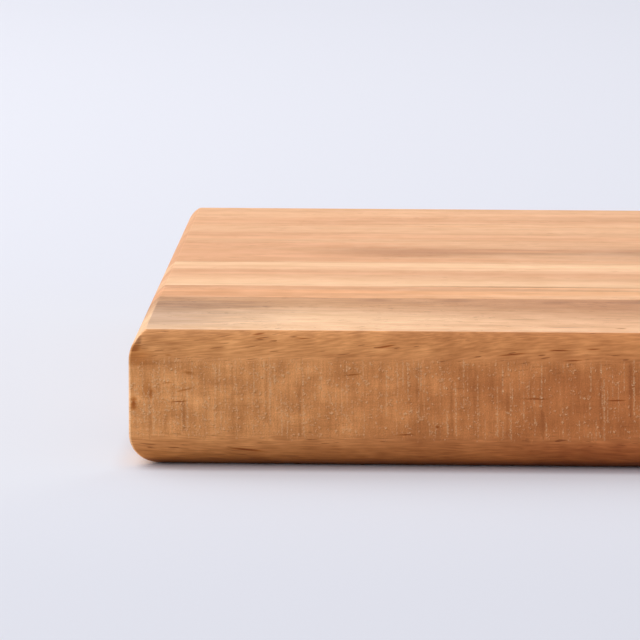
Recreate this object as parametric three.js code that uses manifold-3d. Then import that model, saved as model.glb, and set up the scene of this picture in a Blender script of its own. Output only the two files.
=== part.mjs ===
// Thick serving board, edge-glued from full-length hardwood staves.
// The staves stand side by side across the board, with a film of cured glue in every seam.
// After glue-up the slab is sawn to length, rounded over along all its edges, above and below,
// and sanded on both faces. The sanding cuts into the rounds, so each one meets its face at an arris.
// Units are millimetres and +Z is up. The origin is the middle of the underside,
// X runs with the grain and -Y is the front edge.

import * as THREE from "three";
import { mergeVertices, toCreasedNormals } from "three/addons/utils/BufferGeometryUtils.js";
import Module from "manifold-3d";

// Driving dimensions of the slab
const boardLength = 300;
const boardThickness = 30;
const roundoverRadius = 7.5;
const topSkim = 1.2; // sanded off the top face after the edges were rounded
const bottomSkim = 0.1; // sanded off the underside after the edges were rounded
const arrisEase = 0.4; // small round left where a rounded edge meets a sanded face
const cornerEase = 0.5; // small round on the four upright corners

// Stave widths, from the front edge to the back edge
const frontStaveWidth = 49.5;
const secondStaveWidth = 17.2;
const thirdStaveWidth = 36.6;
const fourthStaveWidth = 35.4;
const fifthStaveWidth = 25.9;
const backStaveWidth = 34.7;

// Seams
const glueFilm = 0.12;
const bondClearance = 0.01; // between a planed edge and the film that bonds to it

// Facets in half of each arc, and the least angle that shades as an edge
const arcSteps = 4;
const creaseAngle = THREE.MathUtils.degToRad(30);

// Wood tones under the oil finish, and the glue's amber
const staves = [
  { name: "stave_1_front", width: frontStaveWidth, colour: "#d9a06a" },
  { name: "stave_2", width: secondStaveWidth, colour: "#dfa772" },
  { name: "stave_3", width: thirdStaveWidth, colour: "#e6b685" },
  { name: "stave_4", width: fourthStaveWidth, colour: "#d09a6c" },
  { name: "stave_5", width: fifthStaveWidth, colour: "#dcab7c" },
  { name: "stave_6_back", width: backStaveWidth, colour: "#e0b083" },
];
const glueColour = "#8a5a34";
const woodRoughness = 0.5;
const glueRoughness = 0.4;

const seamWidth = glueFilm + 2 * bondClearance;
const boardDepth = staves.reduce((sum, stave) => sum + stave.width, seamWidth * (staves.length - 1));

const wasm = await Module();
wasm.setup();

// A closed geometry as a solid that can be cut.
function toSolid(geometry) {
  const bare = geometry.clone();
  bare.deleteAttribute("normal");
  bare.deleteAttribute("uv");
  const merged = mergeVertices(bare);
  return new wasm.Manifold(
    new wasm.Mesh({
      numProp: 3,
      vertProperties: merged.attributes.position.array,
      triVerts: new Uint32Array(merged.index.array),
    }),
  );
}

// A solid as a geometry, smooth round its arcs and crisp at its arrises.
function toGeometry(solid) {
  const mesh = solid.getMesh();
  const geometry = new THREE.BufferGeometry();
  geometry.setAttribute("position", new THREE.BufferAttribute(mesh.vertProperties, 3));
  geometry.setIndex(new THREE.BufferAttribute(mesh.triVerts, 1));
  return toCreasedNormals(geometry, creaseAngle);
}

// The rounded edge between an upright side and a face: a router round whose crown was sanded off,
// then the small ease, which touches both the round and the face.
// ease.out and ease.up place the ease's centre from the round's centre,
// and meet is the angle above the horizontal at which the two arcs join.
function roundedEdge(skim) {
  const up = roundoverRadius - skim - arrisEase;
  const out = Math.sqrt((roundoverRadius - arrisEase) ** 2 - up ** 2);
  return { drop: roundoverRadius - skim, ease: { out, up }, meet: Math.atan2(up, out) };
}

// The slab's section across a pair of opposite edges, standing on zero.
function slabOutline(span) {
  const reach = span / 2 - roundoverRadius;
  const top = roundedEdge(topSkim);
  const base = roundedEdge(bottomSkim);
  const topHeight = boardThickness - top.drop;
  const right = 0;
  const up = Math.PI / 2;
  const left = Math.PI;
  const down = (3 * Math.PI) / 2;
  const outline = new THREE.Shape();
  outline.absarc(reach + base.ease.out, base.drop - base.ease.up, arrisEase, -up, -base.meet);
  outline.absarc(reach, base.drop, roundoverRadius, -base.meet, right);
  outline.absarc(reach, topHeight, roundoverRadius, right, top.meet);
  outline.absarc(reach + top.ease.out, topHeight + top.ease.up, arrisEase, top.meet, up);
  outline.absarc(-reach - top.ease.out, topHeight + top.ease.up, arrisEase, up, left - top.meet);
  outline.absarc(-reach, topHeight, roundoverRadius, left - top.meet, left);
  outline.absarc(-reach, base.drop, roundoverRadius, left, left + base.meet);
  outline.absarc(-reach - base.ease.out, base.drop - base.ease.up, arrisEase, left + base.meet, down);
  return outline;
}

// The slab seen from above: a rectangle with its upright corners eased.
function planOutline() {
  const reachX = boardLength / 2 - cornerEase;
  const reachY = boardDepth / 2 - cornerEase;
  const outline = new THREE.Shape();
  outline.absarc(reachX, -reachY, cornerEase, -Math.PI / 2, 0);
  outline.absarc(reachX, reachY, cornerEase, 0, Math.PI / 2);
  outline.absarc(-reachX, reachY, cornerEase, Math.PI / 2, Math.PI);
  outline.absarc(-reachX, -reachY, cornerEase, Math.PI, (3 * Math.PI) / 2);
  return outline;
}

function extrude(outline, depth) {
  return new THREE.ExtrudeGeometry(outline, { depth, bevelEnabled: false, curveSegments: arcSteps });
}

// The whole slab's front and back edges, run along X, and its upright corners, run along Z.
const lengthwise = toSolid(
  extrude(slabOutline(boardDepth), boardLength)
    .rotateX(Math.PI / 2)
    .rotateZ(Math.PI / 2)
    .translate(-boardLength / 2, 0, 0),
);
const upright = toSolid(extrude(planOutline(), boardThickness));

// A full-length slice of the slab between two distances from its front edge.
function slice(name, start, width, material) {
  const middle = start + width / 2 - boardDepth / 2;
  const rounded = toSolid(
    extrude(slabOutline(boardLength), width)
      .rotateX(Math.PI / 2)
      .translate(0, middle + width / 2, 0),
  );
  const trimmed = rounded.intersect(lengthwise).intersect(upright);
  const mesh = new THREE.Mesh(toGeometry(trimmed).translate(0, -middle, 0), material);
  mesh.name = name;
  mesh.position.y = middle;
  return mesh;
}

const woodwork = new THREE.Group();
const seams = new THREE.Group();
const glue = new THREE.MeshStandardMaterial({ color: glueColour, roughness: glueRoughness, metalness: 0 });
let start = 0;
staves.forEach((stave, index) => {
  const wood = new THREE.MeshStandardMaterial({
    color: stave.colour,
    roughness: woodRoughness,
    metalness: 0,
  });
  woodwork.add(slice(stave.name, start, stave.width, wood));
  start += stave.width;
  if (index < staves.length - 1) {
    seams.add(slice(`glue_line_${index + 1}`, start + bondClearance, glueFilm, glue));
    start += seamWidth;
  }
});

const servingBoard = new THREE.Group();
servingBoard.add(woodwork, seams);

export default servingBoard;
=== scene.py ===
import math
from dataclasses import dataclass, field

import bpy
import numpy as np
from bpy.props import FloatProperty, FloatVectorProperty, IntProperty, PointerProperty
from mathutils import Matrix, Vector, noise


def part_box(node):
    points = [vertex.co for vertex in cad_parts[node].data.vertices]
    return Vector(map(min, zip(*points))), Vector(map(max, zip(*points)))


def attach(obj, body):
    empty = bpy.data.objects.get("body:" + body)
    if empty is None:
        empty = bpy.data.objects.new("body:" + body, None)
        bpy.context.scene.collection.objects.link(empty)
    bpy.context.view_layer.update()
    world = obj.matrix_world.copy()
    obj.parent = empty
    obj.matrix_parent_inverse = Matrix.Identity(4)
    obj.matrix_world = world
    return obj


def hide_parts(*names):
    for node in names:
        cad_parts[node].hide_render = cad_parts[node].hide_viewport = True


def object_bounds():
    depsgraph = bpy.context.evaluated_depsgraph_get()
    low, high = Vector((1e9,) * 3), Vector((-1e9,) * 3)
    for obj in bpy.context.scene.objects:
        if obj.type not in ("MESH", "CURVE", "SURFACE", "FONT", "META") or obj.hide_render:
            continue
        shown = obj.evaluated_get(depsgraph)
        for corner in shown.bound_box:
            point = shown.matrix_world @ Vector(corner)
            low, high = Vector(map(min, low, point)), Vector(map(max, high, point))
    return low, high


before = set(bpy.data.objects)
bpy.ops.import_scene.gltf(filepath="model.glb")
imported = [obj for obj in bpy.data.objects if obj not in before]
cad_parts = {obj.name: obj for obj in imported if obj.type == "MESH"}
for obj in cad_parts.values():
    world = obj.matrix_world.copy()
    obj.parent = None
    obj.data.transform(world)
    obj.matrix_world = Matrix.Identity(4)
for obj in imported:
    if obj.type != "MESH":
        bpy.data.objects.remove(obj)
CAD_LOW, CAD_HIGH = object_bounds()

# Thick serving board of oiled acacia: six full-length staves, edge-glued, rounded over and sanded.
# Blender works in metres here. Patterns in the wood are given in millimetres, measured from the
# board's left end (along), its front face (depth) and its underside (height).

bl_info = {
    "name": "Edge-glued serving board",
    "version": (1, 0, 0),
    "blender": (4, 5, 0),
    "location": "View3D > Sidebar > Board",
    "description": "Builds an oiled, edge-glued serving board around its packed solids",
    "category": "Add Mesh",
}

BODY = "root"
MM = 0.001
BOARD = CAD_HIGH - CAD_LOW
NOISE_MIDDLE = (0.5, 0.5, 0.5)


def linear(hex_colour):
    """An sRGB hex colour as linear red, green and blue."""
    channels = [int(hex_colour[i : i + 2], 16) / 255 for i in (1, 3, 5)]
    return tuple(c / 12.92 if c <= 0.04045 else ((c + 0.055) / 1.055) ** 2.4 for c in channels)


# What a user would change


def millimetres(name, description, value):
    """A length that a user can set."""
    return FloatProperty(name=name, description=description, default=value * MM, unit="LENGTH")


def srgb(name, description, hex_colour):
    """A colour that a user can set."""
    return FloatVectorProperty(
        name=name, description=description, default=linear(hex_colour), subtype="COLOR"
    )


class BoardSizes(bpy.types.PropertyGroup):
    """Sizes of the rounded edges and of the marks that tools left."""

    roundover: millimetres("Roundover", "Radius of the routed edges", 7.5)
    top_skim: millimetres("Top skim", "Sanded off the top after rounding", 1.2)
    base_skim: millimetres("Base skim", "Sanded off the underside after rounding", 0.1)
    arris_ease: millimetres("Arris ease", "Small round between an edge and a face", 0.4)
    corner_ease: millimetres("Corner ease", "Small round on the upright corners", 0.5)
    arris_wander: millimetres("Arris wander", "How far hand sanding moves an arris", 0.09)
    saw_depth: millimetres("Saw mark depth", "Depth of the deepest saw mark", 0.05)
    mesh_step: millimetres("Mesh step", "Length of the faces along an open side", 0.6)
    arc_steps: IntProperty(name="Arc steps", description="Faces round a routed edge", default=12)


class WoodTones(bpy.types.PropertyGroup):
    """Colours of the wood under its oil, from sapwood to heartwood, and of the glue."""

    cream: srgb("Cream", "Pale sapwood", "#EFBE8C")
    wheat: srgb("Wheat", "Pale stripes in the light wood", "#EBB683")
    honey: srgb("Honey", "Light wood beside the sapwood", "#DDA371")
    orange: srgb("Orange", "Warm mid-toned wood", "#E59C5B")
    peach: srgb("Peach", "Warm light wood", "#E19C63")
    tan: srgb("Tan", "Quiet mid-toned wood", "#D69765")
    heart: srgb("Heart brown", "Purple-brown heartwood", "#C28A58")
    russet_and_shade: srgb("Russet", "Deep orange wood low on the open sides", "#BD7738")
    figure: srgb("Figure", "What is left of a tone where the figure is darkest", "#BEAD99")
    deepened: srgb("Ripe", "What is left of a tone at the darker end of a stave", "#F2E5DD")
    knot: srgb("Knot", "What is left of a tone in a pin knot or a dark dash", "#BC9866")
    stain_and_shade: srgb("Stain", "What is left of a tone in a grey stain", "#BCB4B6")
    torn_fibre: srgb("Torn fibre", "Dry fibre ends in the saw marks", "#FFCE98")
    glue: srgb("Glue", "Cured glue, yellowed in the seam", "#8A5A34")
    glue_dark: srgb("Dark glue", "Glue line that has taken up dirt", "#4E2E1A")


class StageLook(bpy.types.PropertyGroup):
    """The floor, the light and the camera."""

    floor: srgb("Floor", "Pale matt floor", "#E6E7ED")
    floor_haze: srgb("Floor haze", "Even paleness that the floor has for the eye", "#ECEDF5")
    near_haze: FloatProperty(
        name="Near haze", description="Share of the haze in the floor beside the board", default=0.3
    )
    far_haze: FloatProperty(
        name="Far haze", description="Share of the haze in the floor far from the board", default=0.1
    )
    left_haze: FloatProperty(
        name="Left haze", description="Share of the haze in the floor beside the left end", default=0.65
    )
    surround: srgb("Surround", "Pale room that the board reflects", "#E8E9F1")
    fill: FloatProperty(name="Fill", description="Strength of the room's light", default=0.715)
    softbox_power: FloatProperty(
        name="Softbox", description="Power of the softbox over the board", default=15.8, unit="POWER"
    )
    side_power: FloatProperty(
        name="Side lamp", description="Power of the low lamp beyond the left end", default=4.0, unit="POWER"
    )
    camera_place: FloatVectorProperty(
        name="Camera", description="From the board's front left lower corner",
        default=(84.1 * MM, -1102.6 * MM, 210.2 * MM), subtype="TRANSLATION",
    )
    camera_yaw: FloatProperty(
        name="Yaw", description="Turn to the left", default=math.radians(2.206), unit="ROTATION"
    )
    camera_pitch: FloatProperty(
        name="Pitch", description="Tilt below the horizon", default=math.radians(9.130), unit="ROTATION"
    )
    camera_roll: FloatProperty(
        name="Roll", description="Lean of the frame", default=math.radians(0.095), unit="ROTATION"
    )
    lens: FloatProperty(name="Lens", description="Focal length", default=290.25, unit="CAMERA")


# The staves and their wood


@dataclass
class Mark:
    """A dark spot or streak, by its middle, its length and its width in millimetres, and its tilt in degrees.

    The width is measured up the board, and across the board a mark is twice as wide.
    One without a depth lies on the front face, and one without a height on the top face.
    The wood there is multiplied by a tone, as often as the strength says.
    """

    along: float
    length: float
    width: float
    depth: float = 0.0
    height: float = BOARD.z / MM
    tilt: float = 0.0
    strength: float = 1.1
    tone: str = "knot"


@dataclass
class Stave:
    """One stave: its tones by depth on the top face, and how its grain lies, in millimetres.

    The growth layers go round the pith. The line between two tones strays by the raggedness to each side,
    and the sway is how far the fibres swing. The right deepening darkens the tone towards the right end, and
    lightens it there if it is below 0. A fineness below 1 gives broader streaks and fainter pores, and the
    contrast weighs the figure.
    """

    node: str
    slot: str
    tones: tuple
    pith_depth: float
    pith_height: float
    raggedness: float
    sway: float
    seed: float
    right_deepening: float = 0.0
    fineness: float = 1.0
    contrast: float = 1.0
    marks: tuple = ()


STAVES = (
    Stave(
        node="stave_1_front", slot="front_stave_wood",
        tones=((0.0, "cream"), (20.0, "cream"), (40.5, "heart"), (50.0, "heart")),
        pith_depth=95.0, pith_height=-10.0, raggedness=7.0, sway=9.0, seed=11.0, right_deepening=1.0,
        marks=(
            # Pin knots at the left end, and the smudges where the end grain drank oil at the mitre
            Mark(along=4.1, height=17.2, length=3.8, width=5.2, strength=0.32),
            Mark(along=4.9, height=16.7, length=1.2, width=3.6, strength=0.6),
            Mark(along=1.1, depth=0.2, height=14.2, length=2.2, width=3.4),
            Mark(along=2.0, depth=1.4, height=28.0, length=2.6, width=2.8, strength=1.0, tone="stain_and_shade"),
            Mark(along=1.2, depth=0.4, height=26.2, length=3.8, width=2.8, strength=0.7),
            Mark(along=1.4, depth=0.1, height=24.4, length=12.0, width=5.2, strength=0.42),
            # Dark dashes on the sawn band
            Mark(along=11.0, height=14.7, length=6.0, width=0.44, tilt=4.0, strength=1.4),
            Mark(along=8.7, height=24.9, length=2.4, width=0.4, strength=1.0),
            Mark(along=8.4, height=18.8, length=3.0, width=0.5, tilt=3.0, strength=0.5),
            Mark(along=12.6, height=17.4, length=5.6, width=0.6, tilt=14.0, strength=0.5),
            Mark(along=13.2, height=21.0, length=4.0, width=1.2, tilt=-10.0, strength=0.5),
            Mark(along=48.6, height=20.9, length=4.8, width=0.44, tilt=6.0, strength=0.7),
            Mark(along=67.2, height=9.5, length=1.4, width=1.0, strength=0.9),
            Mark(along=88.3, height=15.9, length=6.4, width=0.5, strength=0.7),
            Mark(along=106.0, height=15.7, length=4.4, width=0.44, tilt=2.0, strength=0.9),
            # Dark dashes on the routed edges
            Mark(along=28.2, depth=2.5, height=29.3, length=4.0, width=0.48, tilt=9.0),
            Mark(along=28.6, depth=1.7, height=28.5, length=3.6, width=0.4, tilt=8.0, strength=0.7),
            Mark(along=38.0, depth=1.8, height=28.5, length=4.8, width=0.4, tilt=-3.0, strength=0.6),
            Mark(along=55.8, depth=0.8, height=27.0, length=5.2, width=0.48, tilt=10.0),
            Mark(along=83.4, depth=0.2, height=25.6, length=8.4, width=0.44, tilt=6.0, strength=1.4),
            Mark(along=93.4, depth=0.5, height=26.5, length=6.0, width=0.4, strength=1.4),
            Mark(along=96.6, height=24.4, length=6.0, width=0.4, tilt=3.0, strength=1.2),
            Mark(along=101.0, depth=0.6, height=26.8, length=4.4, width=0.44, tilt=3.0),
            Mark(along=26.0, depth=0.8, height=4.0, length=9.6, width=0.68, tilt=-6.0),
            Mark(along=60.5, height=7.8, length=6.0, width=0.44, tilt=4.0, strength=0.9),
            # The lower edge darker towards the right, and painted shade at its foot where it meets the floor
            Mark(along=108.0, depth=0.5, height=4.0, length=76.0, width=8.0, strength=0.8, tone="deepened"),
            Mark(along=122.0, depth=2.5, height=0.8, length=100.0, width=3.4, strength=0.35, tone="figure"),
            # Painted shade: a dull grey patch on the left end of the top, where the top shows less sheen
            Mark(along=0.0, depth=24.0, length=84.0, width=30.0, strength=0.68, tone="stain_and_shade"),
            Mark(along=0.0, depth=13.5, length=64.0, width=10.0, strength=0.65, tone="stain_and_shade"),
            # A grey line, a streak and a dash on the top near its front arris
            Mark(along=95.0, depth=10.0, length=12.0, width=0.8, strength=0.5, tone="stain_and_shade"),
            Mark(along=85.0, depth=20.6, length=12.0, width=1.4, strength=0.4, tone="figure"),
            Mark(along=107.0, depth=9.5, length=3.2, width=0.6),
            # Deeper heartwood at the left, and smudges in it along the first seam
            Mark(along=10.0, depth=38.0, length=72.0, width=11.0, strength=0.4, tone="figure"),
            Mark(along=52.5, depth=46.5, length=12.0, width=3.6, strength=0.4, tone="figure"),
            Mark(along=70.5, depth=46.5, length=14.0, width=3.6, strength=0.4, tone="figure"),
            Mark(along=93.0, depth=45.0, length=10.0, width=3.0, strength=0.35, tone="figure"),
            Mark(along=112.0, depth=46.5, length=18.0, width=3.6, strength=0.4, tone="figure"),
        ),
    ),
    Stave(
        node="stave_2", slot="stave_2_wood",
        tones=((50.0, "tan"), (58.0, "peach"), (67.0, "tan")),
        pith_depth=20.0, pith_height=-60.0, raggedness=5.0, sway=2.0, seed=23.0,
        right_deepening=-0.7, fineness=0.6,
        marks=(
            # Painted shade: the duller left end, where the top shows less sheen
            Mark(along=0.0, depth=58.0, length=90.0, width=14.0, strength=0.15, tone="stain_and_shade"),
        ),
    ),
    Stave(
        node="stave_3", slot="stave_3_wood",
        tones=(
            (67.0, "wheat"), (71.0, "wheat"), (80.0, "honey"), (89.0, "tan"),
            (93.0, "honey"), (98.0, "wheat"), (104.0, "wheat"),
        ),
        pith_depth=130.0, pith_height=-40.0, raggedness=1.5, sway=1.0, seed=37.0,
        fineness=0.45, contrast=0.7,
        marks=(
            # The dark line along the second seam
            Mark(along=86.0, depth=67.0, length=100.0, width=2.0, strength=1.0, tone="figure"),
        ),
    ),
    Stave(
        node="stave_4", slot="stave_4_wood",
        tones=((103.0, "honey"), (112.0, "tan"), (126.0, "tan"), (139.0, "honey")),
        pith_depth=120.0, pith_height=70.0, raggedness=8.0, sway=3.0, seed=41.0,
        fineness=0.45, contrast=0.7,
        marks=(
            # A duller right half, and smears of heartwood
            Mark(along=135.0, depth=121.0, length=140.0, width=18.0, strength=0.3, tone="stain_and_shade"),
            Mark(along=63.0, depth=122.0, length=92.0, width=12.0, strength=0.5, tone="figure"),
            Mark(along=140.0, depth=123.0, length=96.0, width=10.0, strength=0.35, tone="figure"),
        ),
    ),
    Stave(
        node="stave_5", slot="stave_5_wood",
        tones=((139.0, "honey"), (146.0, "tan"), (154.0, "honey"), (165.0, "honey")),
        pith_depth=210.0, pith_height=-30.0, raggedness=4.0, sway=2.0, seed=53.0,
        fineness=0.45, contrast=0.7,
    ),
    Stave(
        node="stave_6_back", slot="back_stave_wood",
        tones=((165.0, "honey"), (175.0, "tan"), (184.0, "honey"), (200.0, "honey")),
        pith_depth=120.0, pith_height=-25.0, raggedness=6.0, sway=4.0, seed=67.0,
        fineness=0.45, contrast=0.7,
    ),
)
OUTER_STAVES = (STAVES[0], STAVES[-1])
INNER_STAVES = STAVES[1:-1]
GLUE_LINES = ("glue_line_1", "glue_line_2", "glue_line_3", "glue_line_4", "glue_line_5")


# Meshes


def rounded_levels(sizes, wall_steps):
    """(inset, height, rim) up an edge, from the underside to the top. rim is 1 on the small eases."""
    radius = sizes.roundover
    ease = sizes.arris_ease
    ease_steps = 4

    def half(skim):
        up = radius - skim - ease
        out = math.sqrt((radius - ease) ** 2 - up**2)
        meet = math.atan2(up, out)
        small = np.linspace(math.pi / 2, meet, ease_steps, endpoint=False)
        large = np.linspace(meet, 0.0, sizes.arc_steps + 1)
        eased = [(radius - out - ease * math.cos(a), ease - ease * math.sin(a), 1.0) for a in small]
        routed = [(radius - radius * math.cos(a), radius - skim - radius * math.sin(a), 0.0) for a in large]
        return eased + routed

    base = half(sizes.base_skim)
    top = [(inset, BOARD.z - height, rim) for inset, height, rim in reversed(half(sizes.top_skim))]
    wall = np.linspace(base[-1][1], top[0][1], wall_steps + 1)[1:-1]
    return base + [(0.0, height, 0.0) for height in wall] + top


def plan_ring(front_open, back_open, along_steps, across_steps):
    """Points round a stave's plan: shares along and across it, then the corner ease's share of each."""
    corner_steps = 4
    ring = []

    def side(across, start, open_side):
        # One long side, walked from the end at start to the other end
        lean = 1 - 2 * across
        if not open_side:
            ring.extend([(start, across, 0.0, 0.0), (1 - start, across, 0.0, 0.0)])
            return
        for end in (start, 1 - start):
            turn = 1 - 2 * end
            angles = np.linspace(0.0, math.pi / 2, corner_steps + 1)
            arc = [(end, across, turn * (1 - math.cos(a)), lean * (1 - math.sin(a))) for a in angles]
            ring.extend(arc if end == start else reversed(arc))
            if end == start:
                for share in np.linspace(0.0, 1.0, along_steps + 1)[1:-1]:
                    spot = start + (1 - 2 * start) * share
                    ring.append((spot, across, 1 - 2 * spot, 0.0))

    def end_face(along, across_from):
        # One end, from the long side at across_from to the other
        for share in np.linspace(0.0, 1.0, across_steps + 1)[1:-1]:
            spot = across_from + (1 - 2 * across_from) * share
            ring.append((along, spot, 0.0, front_open * (1 - spot) - back_open * spot))

    side(0.0, 0.0, front_open)
    end_face(1.0, 0.0)
    side(1.0, 1.0, back_open)
    end_face(0.0, 1.0)
    return np.array(ring)


def loft_faces(levels, count):
    """Four-sided faces between rings of that many points, which lie one above another."""
    faces = []
    for level in range(levels - 1):
        for spot in range(count):
            here = level * count + spot
            there = level * count + (spot + 1) % count
            faces.append((here, there, there + count, here + count))
    return faces


def stave_mesh(name, low, high, sizes):
    """A stave between two depths: rounded at its ends and along any side that is an edge of the board."""
    sharp_angle = math.radians(50)
    fewest_steps = 4
    front_open = float(abs(low.y - CAD_LOW.y) < sizes.arris_ease)
    back_open = float(abs(high.y - CAD_HIGH.y) < sizes.arris_ease)
    along_steps = round(BOARD.x / sizes.mesh_step)
    across_steps = max(fewest_steps, round((high.y - low.y) / (2 * sizes.mesh_step)))
    levels = rounded_levels(sizes, wall_steps=24)
    ring = plan_ring(front_open, back_open, along_steps, across_steps)
    u, v, ease_x, ease_y = ring.T
    corner = (np.abs(ease_x) > 0) & (np.abs(ease_y) > 0) & ((u == 0) | (u == 1))
    points = []
    rims = []
    for inset, height, rim in levels:
        left, right = low.x + inset, high.x - inset
        front, back = low.y + front_open * inset, high.y - back_open * inset
        x = left + (right - left) * u + sizes.corner_ease * ease_x
        y = front + (back - front) * v + sizes.corner_ease * ease_y
        points.append(np.stack([x, y, np.full_like(x, low.z + height)], axis=1))
        rims.append(np.maximum(rim, corner))
    points = np.array(points)
    rims = np.array(rims)
    wear_edges(points, rims, u, v, front_open, back_open, sizes)
    count = len(ring)
    faces = loft_faces(len(levels), count)
    faces.append(tuple(reversed(range(count))))
    faces.append(tuple(range((len(levels) - 1) * count, len(levels) * count)))
    mesh = bpy.data.meshes.new(name)
    mesh.from_pydata(points.reshape(-1, 3).tolist(), [], faces)
    # The arris attribute is 1 on the small eases, which the wood paints paler as a painted highlight
    mesh.attributes.new("arris", "FLOAT", "POINT").data.foreach_set("value", rims.astype(np.float32).ravel())
    mesh.polygons.foreach_set("use_smooth", [True] * len(mesh.polygons))
    mesh.set_sharp_from_angle(angle=sharp_angle)
    return mesh


def wear_edges(points, rims, u, v, front_open, back_open, sizes):
    """Moves the arrises as hand sanding does, and cuts the saw marks into the open long sides."""
    wander_length = 7 * MM
    mark_width = 0.8 * MM
    mark_height = 14 * MM
    flush = 1e-4 * MM
    toward_x = np.where(u == 0, 1.0, np.where(u == 1, -1.0, 0.0))
    toward_y = np.where((v == 0) * front_open, 1.0, np.where((v == 1) * back_open, -1.0, 0.0))
    sides = (np.abs(toward_y) > 0) & (u > 0) & (u < 1)
    for level, row in enumerate(points):
        inset = np.minimum(np.abs(row[:, 1] - CAD_LOW.y), np.abs(row[:, 1] - CAD_HIGH.y))
        flat = sides & (inset < flush)
        for spot in np.flatnonzero((rims[level] > 0) | flat):
            place = Vector(row[spot])
            if flat[spot]:
                cut = noise.noise(Vector((place.x / mark_width, place.y, place.z / mark_height)))
                row[spot, 1] += toward_y[spot] * sizes.saw_depth * max(0.0, cut) ** 2
            else:
                worn = sizes.arris_wander * (0.5 + 0.5 * noise.noise(place / wander_length))
                row[spot, 0] += toward_x[spot] * worn
                row[spot, 1] += toward_y[spot] * worn


def glue_mesh(name, low, high, sizes):
    """A glue film that stops a hair below the sanded surfaces, by an amount that wanders along it."""
    recess = 0.06 * MM
    wander_length = 9 * MM
    along_steps = 150
    levels = rounded_levels(sizes, wall_steps=12)
    shares = np.linspace(0.0, 1.0, along_steps + 1)
    points = []
    for inset, height, _ in levels:
        for depth, walk in ((low.y, shares), (high.y, shares[::-1])):
            for share in walk:
                x = low.x + inset + (BOARD.x - 2 * inset) * share
                sink = recess * (0.5 + 0.5 * noise.noise(Vector((x, low.y, height)) / wander_length))
                at_end = share in (0.0, 1.0)
                inward = Vector((0.0, 0.0, 0.0))
                if at_end:
                    inward.x = math.copysign(1.0, -x)
                if not at_end or not 0 < height < BOARD.z:
                    inward.z = math.copysign(1.0, BOARD.z / 2 - height)
                points.append(Vector((x, depth, height)) + inward * sink)
    count = 2 * (along_steps + 1)
    faces = loft_faces(len(levels), count)
    top = (len(levels) - 1) * count
    for spot in range(along_steps):
        across, past = count - 1 - spot, count - 2 - spot
        faces.append((across, past, spot + 1, spot))
        faces.append((top + spot, top + spot + 1, top + past, top + across))
    mesh = bpy.data.meshes.new(name)
    mesh.from_pydata(points, [], faces)
    return mesh


def place_piece(mesh, material, node):
    """Puts a finished piece, named as its mesh is, in the scene in place of its CAD node."""
    mesh.materials.append(material)
    piece = bpy.data.objects.new(mesh.name, mesh)
    bpy.context.scene.collection.objects.link(piece)
    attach(piece, BODY)
    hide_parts(node)


# Materials


def add(tree, kind, values=(), stops=(), **settings):
    """Adds a shader node with its settings, fills its sockets and returns its first output.

    Each value is a number, a colour or a link. They are given by the sockets' names, or as a list
    in the order of the sockets that the settings leave in use.
    """
    node = tree.nodes.new(f"ShaderNode{kind}")
    for name, value in settings.items():
        setattr(node, name, value)
    sockets = [socket for socket in node.inputs if socket.enabled]
    if isinstance(values, dict):
        sockets = [next(s for s in sockets if name in (s.identifier, s.name)) for name in values]
        values = values.values()
    for socket, value in zip(sockets, values):
        if isinstance(value, bpy.types.NodeSocket):
            tree.links.new(value, socket)
        else:
            socket.default_value = value
    for index, (position, colour) in enumerate(stops):
        ramp = node.color_ramp.elements
        stop = ramp[index] if index < len(ramp) else ramp.new(position)
        stop.position = position
        stop.color = (*colour, 1.0)
    return next((socket for socket in node.outputs if socket.enabled), None)


def new_material(name):
    """An empty material and its node tree."""
    material = bpy.data.materials.new(name)
    material.use_nodes = True
    material.node_tree.nodes.clear()
    return material, material.node_tree


def board_space(tree):
    """Along, depth and height in millimetres, from the board's front left lower corner."""
    place = add(tree, "TexCoord").node.outputs["Object"]
    from_corner = add(tree, "VectorMath", [place, CAD_LOW], operation="SUBTRACT")
    return add(tree, "VectorMath", [from_corner, 1 / MM], operation="SCALE")


def streaks(tree, grain, length, width, detail):
    """Soft streaks of that length and width in millimetres, lying with the fibres, from 0 to 1."""
    scaled = add(tree, "VectorMath", [grain, (1 / length, 1 / width, 1 / width)], operation="MULTIPLY")
    return add(tree, "TexNoise", {"Vector": scaled, "Scale": 1.0, "Detail": detail})


def weigh(tree, pattern, weight, total):
    """Adds a weighed pattern, taken about its middle, to a running total."""
    level = add(tree, "Math", [pattern, 0.5], operation="SUBTRACT")
    return add(tree, "Math", [level, weight, total], operation="MULTIPLY_ADD")


def grain_space(tree, space, stave):
    """Board space bent so that its first axis follows the fibres, which swing and wander in the stave."""
    swing_middle = 52.0
    swing_length = 60.0
    base_swing = 0.3 * stave.sway
    top_swing = -stave.sway
    wander_reach = 1.0 + 0.45 * stave.sway
    seed_step = 100.0
    parts = add(tree, "SeparateXYZ", [space]).node.outputs
    turn = add(tree, "Math", [parts["X"], swing_middle], operation="SUBTRACT")
    turn = add(tree, "Math", [turn, swing_length], operation="DIVIDE")
    turn = add(tree, "Math", [turn], operation="SINE")
    reach = add(
        tree, "MapRange",
        {"Value": parts["Z"], "From Max": BOARD.z / MM, "To Min": base_swing, "To Max": top_swing},
    )
    lift = add(tree, "Math", [turn, reach], operation="MULTIPLY")
    swung = add(tree, "CombineXYZ", {"X": stave.seed * seed_step, "Z": lift})
    swung = add(tree, "VectorMath", [space, swung], operation="ADD")
    wander = streaks(tree, swung, length=80.0, width=26.0, detail=1.0).node.outputs["Color"]
    wander = add(tree, "VectorMath", [wander, NOISE_MIDDLE], operation="SUBTRACT")
    return add(
        tree, "VectorMath", [wander, (0.0, wander_reach, wander_reach), swung], operation="MULTIPLY_ADD"
    )


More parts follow.
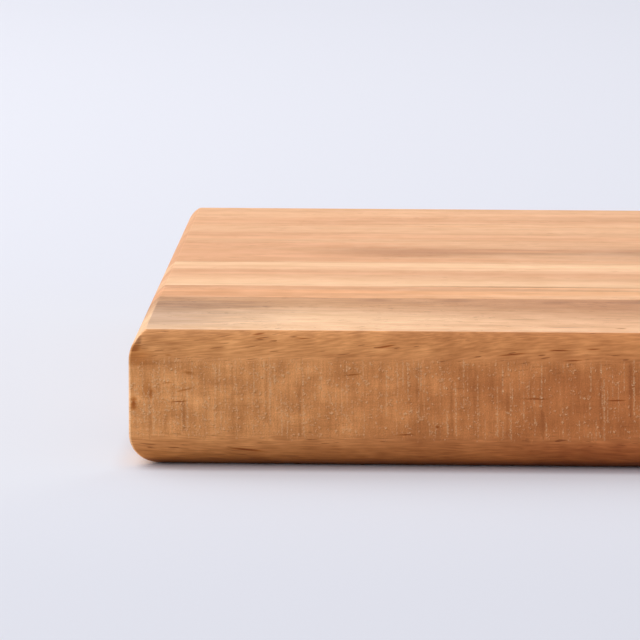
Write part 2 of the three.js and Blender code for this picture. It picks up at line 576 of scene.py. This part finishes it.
def pith_distance(tree, grain, stave):
    """How far a point lies from the pith that the growth layers go round, in millimetres."""
    pith = (0.0, stave.pith_depth, stave.pith_height)
    from_pith = add(tree, "VectorMath", [grain, pith], operation="SUBTRACT")
    across = add(tree, "VectorMath", [from_pith, (0.0, 1.0, 1.0)], operation="MULTIPLY")
    return add(tree, "VectorMath", [across], operation="LENGTH")


def heartwood_tone(tree, distance, ragged, stave, tones):
    """The stave's own colour, from its tones by depth on the top face, with a ragged line between them."""

    def reach(depth):
        return math.hypot(depth - stave.pith_depth, BOARD.z / MM - stave.pith_height)

    reaches = sorted((reach(depth), name) for depth, name in stave.tones)
    nearest, farthest = reaches[0][0], reaches[-1][0]
    span = farthest - nearest
    moved = weigh(tree, ragged, 2 * stave.raggedness, distance)
    share = add(tree, "MapRange", {"Value": moved, "From Min": nearest, "From Max": farthest})
    stops = [((r - nearest) / span, getattr(tones, name)) for r, name in reaches]
    return add(tree, "ValToRGB", [share], stops=stops)


def pore_dashes(tree, grain):
    """Open pores: short dark dashes with the fibres, and dots on the end grain, from 0 to 1."""
    fine = streaks(tree, grain, length=3.6, width=0.3, detail=0.0)
    groups = streaks(tree, grain, length=28.0, width=5.0, detail=1.0)
    limit = add(
        tree, "MapRange",
        {"Value": groups, "From Min": 0.35, "From Max": 0.65, "To Min": 0.84, "To Max": 0.68},
    )
    over = add(tree, "Math", [fine, limit], operation="SUBTRACT")
    return add(tree, "MapRange", {"Value": over, "From Max": 0.07})


def dark_marks(tree, space, ragged, marks):
    """The strongest of these spots and streaks at each point, with soft ragged rims.

    The rims stray within the reach, and the core is fully dark. Both are shares of a mark's half size.
    """
    reach = 1.5
    core = 0.1
    total = 0.0
    for mark in marks:
        near = add(
            tree, "Mapping",
            {
                "Vector": space,
                "Location": (mark.along, mark.depth, mark.height),
                "Rotation": (0.0, -math.radians(mark.tilt), 0.0),
                "Scale": reach * Vector((mark.length / 2, mark.width, mark.width / 2)),
            },
            vector_type="TEXTURE",
        )
        near = add(tree, "TexGradient", [near], gradient_type="SPHERICAL").node.outputs["Fac"]
        near = weigh(tree, ragged, -1 / reach, near)
        spot = add(
            tree, "MapRange",
            {
                "Value": near, "From Min": 1 - 1 / reach, "From Max": 1 - core / reach,
                "To Max": mark.strength,
            },
            interpolation_type="SMOOTHSTEP",
        )
        total = add(tree, "Math", [total, spot], operation="MAXIMUM")
    return total


def facing(tree, axis):
    """How far the surface faces along an axis of the board, either way, from 0 to 1."""
    normal = add(tree, "TexCoord").node.outputs["Normal"]
    share = add(tree, "SeparateXYZ", [normal]).node.outputs[axis]
    return add(tree, "Math", [share], operation="ABSOLUTE")


def end_grain(tree):
    """How far the surface turns to the board's ends, where cut pores drink oil and darken, from 0 to 1."""
    return add(
        tree, "MapRange", {"Value": facing(tree, "X"), "From Min": 0.85, "From Max": 1.0},
        interpolation_type="SMOOTHSTEP",
    )


def right_deepening_share(tree, space, stave):
    """How far a stave's tone deepens: more towards its right end, and twice as much in its lower wood."""
    low_share = 2.0
    parts = add(tree, "SeparateXYZ", [space]).node.outputs
    lower = add(
        tree, "MapRange",
        {"Value": parts["Z"], "From Min": 19.0, "From Max": 26.0, "To Min": low_share, "To Max": 1.0},
    )
    along = add(
        tree, "MapRange",
        {"Value": parts["X"], "From Min": 15.0, "From Max": 115.0, "To Max": stave.right_deepening},
        interpolation_type="SMOOTHSTEP",
    )
    return add(tree, "Math", [along, lower], operation="MULTIPLY")


def side_tone(tree, space, ragged, tones):
    """The wood under an open long side: warm, and deeper low down, partly its own tone and partly painted
    shade.
    """
    raggedness = 6.0
    height = add(tree, "SeparateXYZ", [space]).node.outputs["Z"]
    lifted = weigh(tree, ragged, raggedness, height)
    rise = add(
        tree, "MapRange", {"Value": lifted, "From Min": 0.5, "From Max": 8.7},
        interpolation_type="SMOOTHSTEP",
    )
    # The deeper tone low down is partly the wood's own and partly painted shade on the lower round
    return add(tree, "Mix", [rise, (*tones.russet_and_shade, 1.0), (*tones.orange, 1.0)], data_type="RGBA")


def painted_contact_shade(tree, space, side):
    """Painted shade on the lowest part of a routed edge, where it turns under to the floor, from 0 to 1."""
    height = add(tree, "SeparateXYZ", [space]).node.outputs["Z"]
    low = add(
        tree, "MapRange",
        {"Value": height, "From Min": 0.4, "From Max": 2.4, "To Min": 1.0, "To Max": 0.0},
        interpolation_type="SMOOTHSTEP",
    )
    return add(tree, "Math", [low, side], operation="MULTIPLY")


def saw_face(tree, space):
    """Along and height on an open long side, leant as far as the saw's marks lean."""
    lean = 0.015
    parts = add(tree, "SeparateXYZ", [space]).node.outputs
    along = add(tree, "Math", [parts["Z"], lean, parts["X"]], operation="MULTIPLY_ADD")
    return add(tree, "CombineXYZ", {"X": along, "Y": parts["Z"]})


def face_noise(tree, face, width, height):
    """Soft noise on an open long side, of that width and height in millimetres, from 0 to 1."""
    scaled = add(tree, "VectorMath", [face, (1 / width, 1 / height, 1.0)], operation="MULTIPLY")
    return add(
        tree, "TexNoise", {"Vector": scaled, "Scale": 1.0, "Detail": 1.0}, noise_dimensions="2D"
    )


def saw_band(tree, space, face, across, sizes):
    """Where an open long side is still as the saw left it: between the routed edges, from 0 to 1.

    Each saw mark runs out at its own height, so the rims of the band are ragged.
    """
    run_out = 3.2
    highest = (BOARD.z - sizes.roundover + sizes.top_skim) / MM
    lowest = (sizes.roundover - sizes.base_skim) / MM
    height = add(tree, "SeparateXYZ", [space]).node.outputs["Z"]
    above = add(tree, "Math", [height, highest], operation="SUBTRACT")
    below = add(tree, "Math", [lowest, height], operation="SUBTRACT")
    past = add(tree, "Math", [above, below], operation="MAXIMUM")
    past = weigh(tree, face_noise(tree, face, width=0.8, height=12.0), run_out, past)
    kept = add(
        tree, "MapRange",
        {"Value": past, "From Min": -0.6, "From Max": 1.0, "To Min": 1.0, "To Max": 0.0},
        interpolation_type="SMOOTHSTEP",
    )
    upright = add(tree, "MapRange", {"Value": across, "From Min": 0.85, "From Max": 0.95})
    return add(tree, "Math", [kept, upright], operation="MULTIPLY")


def saw_lines(tree, face, spacing, height, width, share, aside=0.0):
    """Upright saw marks of that width, one in each cell of that spacing and height, from 0 to 1.

    Each has its own strength, and the share of them that is too faint to show is left out.
    aside moves them to the right, which gives the flanks beside the marks, painted there as their shadows.
    """
    core = 0.3
    scaled = add(tree, "VectorMath", [face, (spacing, height, 1.0)], operation="DIVIDE")
    cells = add(
        tree, "TexVoronoi", {"Vector": scaled, "Scale": 1.0}, voronoi_dimensions="2D"
    ).node.outputs
    beside = add(tree, "VectorMath", [scaled, cells["Position"]], operation="SUBTRACT")
    beside = add(tree, "SeparateXYZ", [beside]).node.outputs["X"]
    beside = add(tree, "Math", [beside, aside / spacing], operation="SUBTRACT")
    beside = add(tree, "Math", [beside], operation="ABSOLUTE")
    line = add(
        tree, "MapRange",
        {
            "Value": beside, "From Min": core * width / spacing, "From Max": width / spacing,
            "To Min": 1.0, "To Max": 0.0,
        },
    )
    chance = add(tree, "SeparateColor", [cells["Color"]]).node.outputs["Red"]
    strength = add(tree, "MapRange", {"Value": chance, "From Min": share, "From Max": 1.0})
    return add(tree, "Math", [line, strength], operation="MULTIPLY")


def torn_specks(tree, face, lines):
    """Pale torn fibre ends, in drifts and strung along the saw marks, from 0 to 1.

    Real ones are about 0.1 mm across. They are drawn three times as large, so that they show.
    There are more of them towards the left end.
    """
    cell = (0.4, 0.52, 1.0)
    curl_reach = (0.9, 0.9, 0.0)
    share_on_lines = 0.65
    left_reach = 80.0
    left_share = 0.13
    curl = face_noise(tree, face, width=0.3, height=0.3).node.outputs["Color"]
    curl = add(tree, "VectorMath", [curl, NOISE_MIDDLE], operation="SUBTRACT")
    curled = add(tree, "VectorMath", [curl, curl_reach, face], operation="MULTIPLY_ADD")
    scaled = add(tree, "VectorMath", [curled, cell], operation="DIVIDE")
    cells = add(
        tree, "TexVoronoi", {"Vector": scaled, "Scale": 1.0}, voronoi_dimensions="2D"
    ).node.outputs
    chances = add(tree, "SeparateColor", [cells["Color"]]).node.outputs
    drift = face_noise(tree, face, width=1.4, height=8.0)
    drift = add(
        tree, "MapRange",
        {"Value": drift, "From Min": 0.44, "From Max": 0.68, "To Min": 0.03, "To Max": 0.26},
    )
    drift = add(tree, "Math", [lines, share_on_lines, drift], operation="MULTIPLY_ADD")
    along = add(tree, "SeparateXYZ", [face]).node.outputs["X"]
    more = add(
        tree, "MapRange", {"Value": along, "From Max": left_reach, "To Min": left_share, "To Max": 0.0}
    )
    drift = add(tree, "Math", [drift, more], operation="ADD")
    torn = add(tree, "Math", [chances["Red"], drift], operation="LESS_THAN")
    bright = add(tree, "MapRange", {"Value": chances["Green"], "To Min": 0.35, "To Max": 1.0})
    torn = add(tree, "Math", [torn, bright], operation="MULTIPLY")
    size = add(tree, "MapRange", {"Value": chances["Blue"], "To Min": 0.34, "To Max": 0.62})
    dot = add(
        tree, "MapRange",
        {"Value": cells["Distance"], "From Min": 0.15, "From Max": size, "To Min": 1.0, "To Max": 0.0},
    )
    return add(tree, "Math", [torn, dot], operation="MULTIPLY")


Pattern = bpy.types.NodeSocket


@dataclass
class Wood:
    """A stave's wood while its material is built: patterns, each a node's output or a plain number.

    darker, raised and paler hold patterns with their weights: what deepens the figure, what stands out
    of the surface or lies below it, and what shows as pale torn fibre.
    """

    space: Pattern
    broad: Pattern
    short_fibre: Pattern
    mottle: Pattern
    tone: Pattern
    figure: Pattern
    pores: Pattern
    off_end_highlight: Pattern
    roughness: Pattern
    marks: dict
    fibre_weight: float
    mottle_weight: float
    darker: list = field(default_factory=list)
    raised: list = field(default_factory=list)
    paler: list = field(default_factory=list)


def grown_wood(tree, stave, tones):
    """A stave's wood as it grew: its tone, figure, pores and marks.

    Stains and streaks of dark figure stay off the board's ends, so that the end rounds keep a painted
    highlight.
    """
    layer_width = 1.7
    detail = 2.0 * stave.fineness
    space = board_space(tree)
    grain = grain_space(tree, space, stave)
    distance = pith_distance(tree, grain, stave)
    broad = streaks(tree, grain, length=110.0, width=5.0, detail=detail)
    long_fibre = streaks(tree, grain, length=45.0, width=1.6 / stave.fineness, detail=detail)
    short_fibre = streaks(tree, grain, length=4.5, width=0.36, detail=2.0)
    mottle = streaks(tree, grain, length=8.0, width=5.0, detail=2.0)
    layers = add(
        tree, "TexNoise", {"W": distance, "Scale": stave.fineness / layer_width, "Detail": detail},
        noise_dimensions="1D",
    )
    tone = heartwood_tone(tree, distance, broad, stave, tones)
    figure = 0.0
    for pattern, weight in ((broad, 0.5), (long_fibre, 0.4), (layers, 0.3)):
        figure = weigh(tree, pattern, weight * stave.contrast, figure)
    pores = pore_dashes(tree, grain)
    roughness = add(tree, "MapRange", {"Value": mottle, "To Min": 0.5, "To Max": 0.66})
    marks = {
        name: dark_marks(tree, space, long_fibre, [mark for mark in stave.marks if mark.tone == name])
        for name in ("knot", "stain_and_shade", "figure", "deepened")
    }
    # 1 away from the ends and 0 on the end rounds, which stay pale as a painted highlight
    off_end_highlight = add(
        tree, "MapRange",
        {"Value": facing(tree, "X"), "From Min": 0.2, "From Max": 0.5, "To Min": 1.0, "To Max": 0.0},
    )
    for name in ("stain_and_shade", "figure"):
        marks[name] = add(tree, "Math", [marks[name], off_end_highlight], operation="MULTIPLY")
    return Wood(
        space=space, broad=broad, short_fibre=short_fibre, mottle=mottle, tone=tone, figure=figure,
        pores=pores, off_end_highlight=off_end_highlight, roughness=roughness, marks=marks,
        fibre_weight=0.35 * stave.fineness, mottle_weight=0.45 * stave.contrast,
    )


def open_side(tree, wood, tones, sizes):
    """Gives a stave its open long side: warm and blotched, sawn between its routed edges, with painted shade
    at the foot.

    Half of its warmth is lost where the corner turns to the end, as a painted highlight on the end round.
    """
    sawn_roughness = 0.7
    across = facing(tree, "Y")
    side = add(tree, "MapRange", {"Value": across, "From Min": 0.02, "From Max": 0.15})
    # The side's warmth is halved on the end rounds: painted highlight
    kept = add(tree, "MapRange", {"Value": wood.off_end_highlight, "To Min": 0.5, "To Max": 1.0})
    side = add(tree, "Math", [side, kept], operation="MULTIPLY")
    face = saw_face(tree, wood.space)
    band = saw_band(tree, wood.space, face, across, sizes)
    routed = add(tree, "Math", [side, band], operation="SUBTRACT")
    warm = side_tone(tree, wood.space, wood.broad, tones)
    wood.tone = add(tree, "Mix", [side, wood.tone, warm], data_type="RGBA")
    calm = add(tree, "MapRange", {"Value": side, "To Min": 1.0, "To Max": 0.4})
    wood.figure = add(tree, "Math", [wood.figure, calm], operation="MULTIPLY")
    wood.fibre_weight = add(tree, "MapRange", {"Value": routed, "To Min": 0.3, "To Max": 1.3})
    wood.mottle_weight = add(
        tree, "MapRange", {"Value": side, "To Min": wood.mottle_weight, "To Max": 1.2}
    )
    scarce = add(tree, "MapRange", {"Value": band, "To Min": 1.0, "To Max": 0.25})
    wood.pores = add(tree, "Math", [wood.pores, scarce], operation="MULTIPLY")
    saw_marks(tree, wood, face, band)
    # Painted shade along the foot of the open side, where the rounded edge meets the floor
    wood.darker.append((painted_contact_shade(tree, wood.space, side), 0.9))
    wood.roughness = add(tree, "Mix", [band, wood.roughness, sawn_roughness], data_type="FLOAT")


def saw_marks(tree, wood, face, band):
    """Adds what the saw left on the band: marks with dry rims and painted shadows on their flanks, scratches,
    and torn fibre with its painted shadows.
    """
    shadow_offset = (-0.22, 0.22, 0.0)
    wide_spacing = 6.5
    wide_height = 15.0
    wide = saw_lines(tree, face, wide_spacing, wide_height, width=0.26, share=0.35)
    fine = saw_lines(tree, face, spacing=1.2, height=6.0, width=0.2, share=0.5)
    lines = add(tree, "Math", [wide, fine], operation="MAXIMUM")
    broken = face_noise(tree, face, width=0.5, height=0.55)
    broken = add(tree, "MapRange", {"Value": broken, "From Min": 0.4, "From Max": 0.6})
    pale = add(tree, "Math", [lines, broken], operation="MULTIPLY")
    specks = torn_specks(tree, face, lines)
    beside = add(tree, "VectorMath", [face, shadow_offset], operation="ADD")
    shadows = torn_specks(tree, beside, lines)
    # Painted shadow: a dark flank beside each wide saw mark
    shaded_flanks = saw_lines(tree, face, wide_spacing, wide_height, width=0.5, share=0.45, aside=-0.8)
    scratch = weigh(tree, face_noise(tree, face, width=0.36, height=4.0), weight=0.36, total=0.0)
    scratch = weigh(tree, face_noise(tree, face, width=1.6, height=16.0), weight=0.45, total=scratch)
    scratch = weigh(tree, face_noise(tree, face, width=0.27, height=0.3), weight=0.6, total=scratch)
    clear = add(tree, "Math", [band, wood.marks["knot"]], operation="SUBTRACT", use_clamp=True)
    scratch, pale, specks, shadows, shaded_flanks = [
        add(tree, "Math", [pattern, clear], operation="MULTIPLY")
        for pattern in (scratch, pale, specks, shadows, shaded_flanks)
    ]
    wood.darker += [(scratch, 1.0), (shadows, 0.5), (shaded_flanks, 0.3)]
    wood.raised += [(scratch, -1.0), (pale, 0.5), (specks, 1.0)]
    wood.paler += [(pale, 0.35), (specks, 0.95)]


def oiled_acacia(stave, tones, sizes, sawn):
    """Acacia, sawn, routed, sanded and oiled.

    The eye sees a warm satin surface with long streaks, a few darker growth layers and short dark pores.
    Darker wood loses more blue than red, so the figure multiplies the tone by a warm shade to a power.
    An open long side is sawn between its routed edges: blotched, gritty, and flecked with torn fibre.
    """
    material, tree = new_material(f"Oiled acacia, sanded, {stave.node}")
    wood = grown_wood(tree, stave, tones)
    if sawn:
        open_side(tree, wood, tones, sizes)
    arris = add(tree, "Attribute", attribute_name="arris").node.outputs["Fac"]
    # The small eases on the edges and upright corners are painted paler: a painted highlight along them
    wood.darker += [(wood.pores, 0.9 * stave.fineness), (end_grain(tree), 0.6), (arris, -0.3)]
    wood.darker.append((wood.marks["figure"], 1.0))
    wood.raised.append((wood.pores, -0.5))
    figure = weigh(tree, wood.short_fibre, wood.fibre_weight, wood.figure)
    figure = weigh(tree, wood.mottle, wood.mottle_weight, figure)
    for pattern, weight in wood.darker:
        figure = add(tree, "Math", [pattern, weight, figure], operation="MULTIPLY_ADD")
    height = weigh(tree, wood.short_fibre, weight=0.25, total=0.0)
    for pattern, weight in wood.raised:
        height = add(tree, "Math", [pattern, weight, height], operation="MULTIPLY_ADD")
    deepened = add(tree, "Math", [right_deepening_share(tree, wood.space, stave), wood.marks["deepened"]], operation="ADD")
    powers = {"figure": figure, "deepened": deepened, "knot": wood.marks["knot"], "stain_and_shade": wood.marks["stain_and_shade"]}
    colour = wood.tone
    for name, power in powers.items():
        shade = add(tree, "Gamma", [(*getattr(tones, name), 1.0), power])
        colour = add(tree, "VectorMath", [colour, shade], operation="MULTIPLY")
    for pattern, weight in wood.paler:
        cover = add(tree, "Math", [pattern, weight], operation="MULTIPLY")
        colour = add(tree, "Mix", [cover, colour, (*tones.torn_fibre, 1.0)], data_type="RGBA")
    bump = add(tree, "Bump", {"Height": height, "Strength": 0.6, "Distance": 0.08 * MM})
    shader = add(
        tree, "BsdfPrincipled",
        {
            "Base Color": colour, "Roughness": wood.roughness, "IOR": 1.45, "Specular IOR Level": 0.35,
            "Normal": bump,
        },
    )
    add(tree, "OutputMaterial", {"Surface": shader})
    return material


def cured_glue(number, tones):
    """Yellow wood glue, cured in the seam and sanded flush.

    The eye sees a hairline between two staves: amber for most of its run, and dark where dirt has settled.
    """
    dirt_length = 38.0
    material, tree = new_material(f"Cured wood glue, sanded, line {number}")
    along = add(tree, "SeparateXYZ", [board_space(tree)]).node.outputs["X"]
    dirt = add(
        tree, "TexNoise", {"W": along, "Scale": 1 / dirt_length, "Detail": 2.0}, noise_dimensions="1D"
    )
    dirt = add(tree, "MapRange", {"Value": dirt, "From Min": 0.4, "From Max": 0.65})
    colour = add(tree, "Mix", [dirt, (*tones.glue, 1.0), (*tones.glue_dark, 1.0)], data_type="RGBA")
    shader = add(tree, "BsdfPrincipled", {"Base Color": colour, "Roughness": 0.45, "IOR": 1.46})
    add(tree, "OutputMaterial", {"Surface": shader})
    return material


def seen(tree):
    """1 for rays from the camera, a mirror or glass, and 0 for light on the object."""
    rays = add(tree, "LightPath").node.outputs
    total = rays["Is Camera Ray"]
    for kind in ("Is Glossy Ray", "Is Transmission Ray"):
        total = add(tree, "Math", [total, rays[kind]], operation="MAXIMUM")
    return total


def matt_floor(look):
    """Matt painted board. The eye sees an even pale grey with a trace of blue and no gloss.

    Where it is seen or mirrored, a share of plain haze, which is painted light, softens its shadow and the
    tint beside the wood. The haze begins at the board's rim, so the line of contact under it stays dark.
    Beside the board it is strongest beyond the left end, a painted pool of light where that end lies in full
    light, and it thins out with the distance.
    """
    haze_start = 5 * MM
    haze_near = 15 * MM
    haze_far = 130 * MM
    material, tree = new_material("Matt painted floor")
    place = add(tree, "TexCoord").node.outputs["Object"]
    outside = add(tree, "VectorMath", [place], operation="ABSOLUTE")
    outside = add(tree, "VectorMath", [outside, BOARD / 2], operation="SUBTRACT")
    outside = add(tree, "VectorMath", [outside, (0.0, 0.0, 0.0)], operation="MAXIMUM")
    away = add(tree, "VectorMath", [outside], operation="LENGTH")
    along = add(tree, "SeparateXYZ", [place]).node.outputs["X"]
    left = add(tree, "Math", [CAD_LOW.x, along], operation="SUBTRACT")
    left = add(tree, "Math", [left, away], operation="DIVIDE")
    near = add(
        tree, "MapRange",
        {
            "Value": left, "From Min": 0.3, "From Max": 0.9,
            "To Min": look.near_haze, "To Max": look.left_haze,
        },
        interpolation_type="SMOOTHSTEP",
    )
    most = add(
        tree, "MapRange",
        {
            "Value": away, "From Min": haze_near, "From Max": haze_far,
            "To Min": near, "To Max": look.far_haze,
        },
        interpolation_type="SMOOTHSTEP",
    )
    begun = add(
        tree, "MapRange", {"Value": away, "From Max": haze_start}, interpolation_type="SMOOTHSTEP"
    )
    most = add(tree, "Math", [most, begun], operation="MULTIPLY")
    paint = add(
        tree, "BsdfPrincipled",
        {"Base Color": (*look.floor, 1.0), "Roughness": 0.75, "Specular IOR Level": 0.25},
    )
    # Painted light: this emission lifts the floor near the board and most beyond its left end
    haze = add(tree, "Emission", {"Color": (*look.floor_haze, 1.0), "Strength": 1.0})
    share = add(tree, "Math", [seen(tree), most], operation="MULTIPLY")
    shader = add(tree, "MixShader", [share, paint, haze])
    add(tree, "OutputMaterial", {"Surface": shader})
    return material


# Stage


def lay_floor(look):
    """A wide flat floor under the board."""
    reach = 9.0
    corners = [(-reach, -reach, 0.0), (reach, -reach, 0.0), (reach, reach, 0.0), (-reach, reach, 0.0)]
    mesh = bpy.data.meshes.new("floor")
    mesh.from_pydata(corners, [], [(0, 1, 2, 3)])
    mesh.materials.append(matt_floor(look))
    floor = bpy.data.objects.new("floor", mesh)
    bpy.context.scene.collection.objects.link(floor)


def light_room(scene, look):
    """An even pale room: full strength where it is seen or mirrored, and less as light on the board."""
    world = bpy.data.worlds.new("Pale room")
    world.use_nodes = True
    tree = world.node_tree
    tree.nodes.clear()
    strength = add(tree, "MapRange", {"Value": seen(tree), "To Min": look.fill, "To Max": 1.0})
    room = add(tree, "Background", {"Color": (*look.surround, 1.0), "Strength": strength})
    add(tree, "OutputWorld", {"Surface": room})
    scene.world = world
    scene.view_settings.view_transform = "Standard"


def hang_lamps(look):
    """A large softbox over the board and to its left, and a low lamp that rims its left end."""
    softbox_place = Vector((-0.95, 0.6, 1.35))
    softbox_size = 1.6
    side_place = Vector((-1.2, 0.35, 0.24))
    side_size = 0.5
    for name, place, size, power in (
        ("Softbox", softbox_place, softbox_size, look.softbox_power),
        ("Side lamp", side_place, side_size, look.side_power),
    ):
        light = bpy.data.lights.new(name, "AREA")
        light.shape = "SQUARE"
        light.size = size
        light.energy = power
        lamp = bpy.data.objects.new(name, light)
        lamp.location = place
        lamp.rotation_euler = (-place).to_track_quat("-Z", "Y").to_euler()
        lamp.visible_camera = False
        bpy.context.scene.collection.objects.link(lamp)


def set_camera(scene, look):
    """A long lens, low in front of the board and turned a little to the left."""
    yaw, pitch, roll = look.camera_yaw, look.camera_pitch, look.camera_roll
    ahead = Vector((-math.sin(yaw) * math.cos(pitch), math.cos(yaw) * math.cos(pitch), -math.sin(pitch)))
    right = Vector((math.cos(yaw), math.sin(yaw), 0.0))
    up = right.cross(ahead)
    leant_right = right * math.cos(roll) + up * math.sin(roll)
    leant_up = up * math.cos(roll) - right * math.sin(roll)
    turn = Matrix((leant_right, leant_up, -ahead)).transposed()
    lens = bpy.data.cameras.new("Camera")
    lens.lens = look.lens
    lens.clip_end = 50.0
    camera = bpy.data.objects.new("Camera", lens)
    camera.matrix_world = Matrix.Translation(CAD_LOW + Vector(look.camera_place)) @ turn.to_4x4()
    scene.collection.objects.link(camera)
    scene.camera = camera


# Operators


def build_staves(scene, staves, sawn):
    """Builds these staves in place of their solids."""
    sizes, tones = scene.board_sizes, scene.board_tones
    for stave in staves:
        low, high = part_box(stave.node)
        mesh = stave_mesh(f"oiled_{stave.node}", low, high, sizes)
        place_piece(mesh, oiled_acacia(stave, tones, sizes, sawn), stave.node)


class BOARD_OT_outer_staves(bpy.types.Operator):
    """Build the front and back staves, each rounded along its open side and sawn between the rounds"""

    bl_idname = "board.outer_staves"
    bl_label = "Outer staves"

    def execute(self, context):
        build_staves(context.scene, OUTER_STAVES, sawn=True)
        return {"FINISHED"}


class BOARD_OT_inner_staves(bpy.types.Operator):
    """Build the staves between the front and the back one, rounded at their ends only"""

    bl_idname = "board.inner_staves"
    bl_label = "Inner staves"

    def execute(self, context):
        build_staves(context.scene, INNER_STAVES, sawn=False)
        return {"FINISHED"}


class BOARD_OT_glue_lines(bpy.types.Operator):
    """Build the films of cured glue in the seams"""

    bl_idname = "board.glue_lines"
    bl_label = "Glue lines"

    def execute(self, context):
        sizes, tones = context.scene.board_sizes, context.scene.board_tones
        for number, node in enumerate(GLUE_LINES, start=1):
            low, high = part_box(node)
            mesh = glue_mesh(f"cured_{node}", low, high, sizes)
            place_piece(mesh, cured_glue(number, tones), node)
        return {"FINISHED"}


class BOARD_OT_stage(bpy.types.Operator):
    """Lay the floor and set the light and the camera"""

    bl_idname = "board.stage"
    bl_label = "Stage"

    def execute(self, context):
        look = context.scene.board_stage
        lay_floor(look)
        light_room(context.scene, look)
        hang_lamps(look)
        set_camera(context.scene, look)
        return {"FINISHED"}


class BOARD_PT_build(bpy.types.Panel):
    """Lists the steps and the values that they use"""

    bl_idname = "BOARD_PT_build"
    bl_label = "Serving board"
    bl_space_type = "VIEW_3D"
    bl_region_type = "UI"
    bl_category = "Board"

    def draw(self, context):
        for step in STEPS:
            self.layout.operator(step.bl_idname)
        for name in GROUPS:
            group = getattr(context.scene, name)
            for key in group.bl_rna.properties.keys():
                if key not in ("rna_type", "name"):
                    self.layout.prop(group, key)


STEPS = (BOARD_OT_outer_staves, BOARD_OT_inner_staves, BOARD_OT_glue_lines, BOARD_OT_stage)
GROUPS = {"board_sizes": BoardSizes, "board_tones": WoodTones, "board_stage": StageLook}


def register():
    for group in GROUPS.values():
        bpy.utils.register_class(group)
    for name, group in GROUPS.items():
        setattr(bpy.types.Scene, name, PointerProperty(type=group))
    for step in STEPS:
        bpy.utils.register_class(step)
    bpy.utils.register_class(BOARD_PT_build)


def unregister():
    bpy.utils.unregister_class(BOARD_PT_build)
    for step in reversed(STEPS):
        bpy.utils.unregister_class(step)
    for name in GROUPS:
        delattr(bpy.types.Scene, name)
    for group in reversed(GROUPS.values()):
        bpy.utils.unregister_class(group)


def main():
    register()
    bpy.ops.board.stage()
    bpy.ops.board.outer_staves()
    bpy.ops.board.inner_staves()
    bpy.ops.board.glue_lines()


if __name__ == "__main__":
    main()
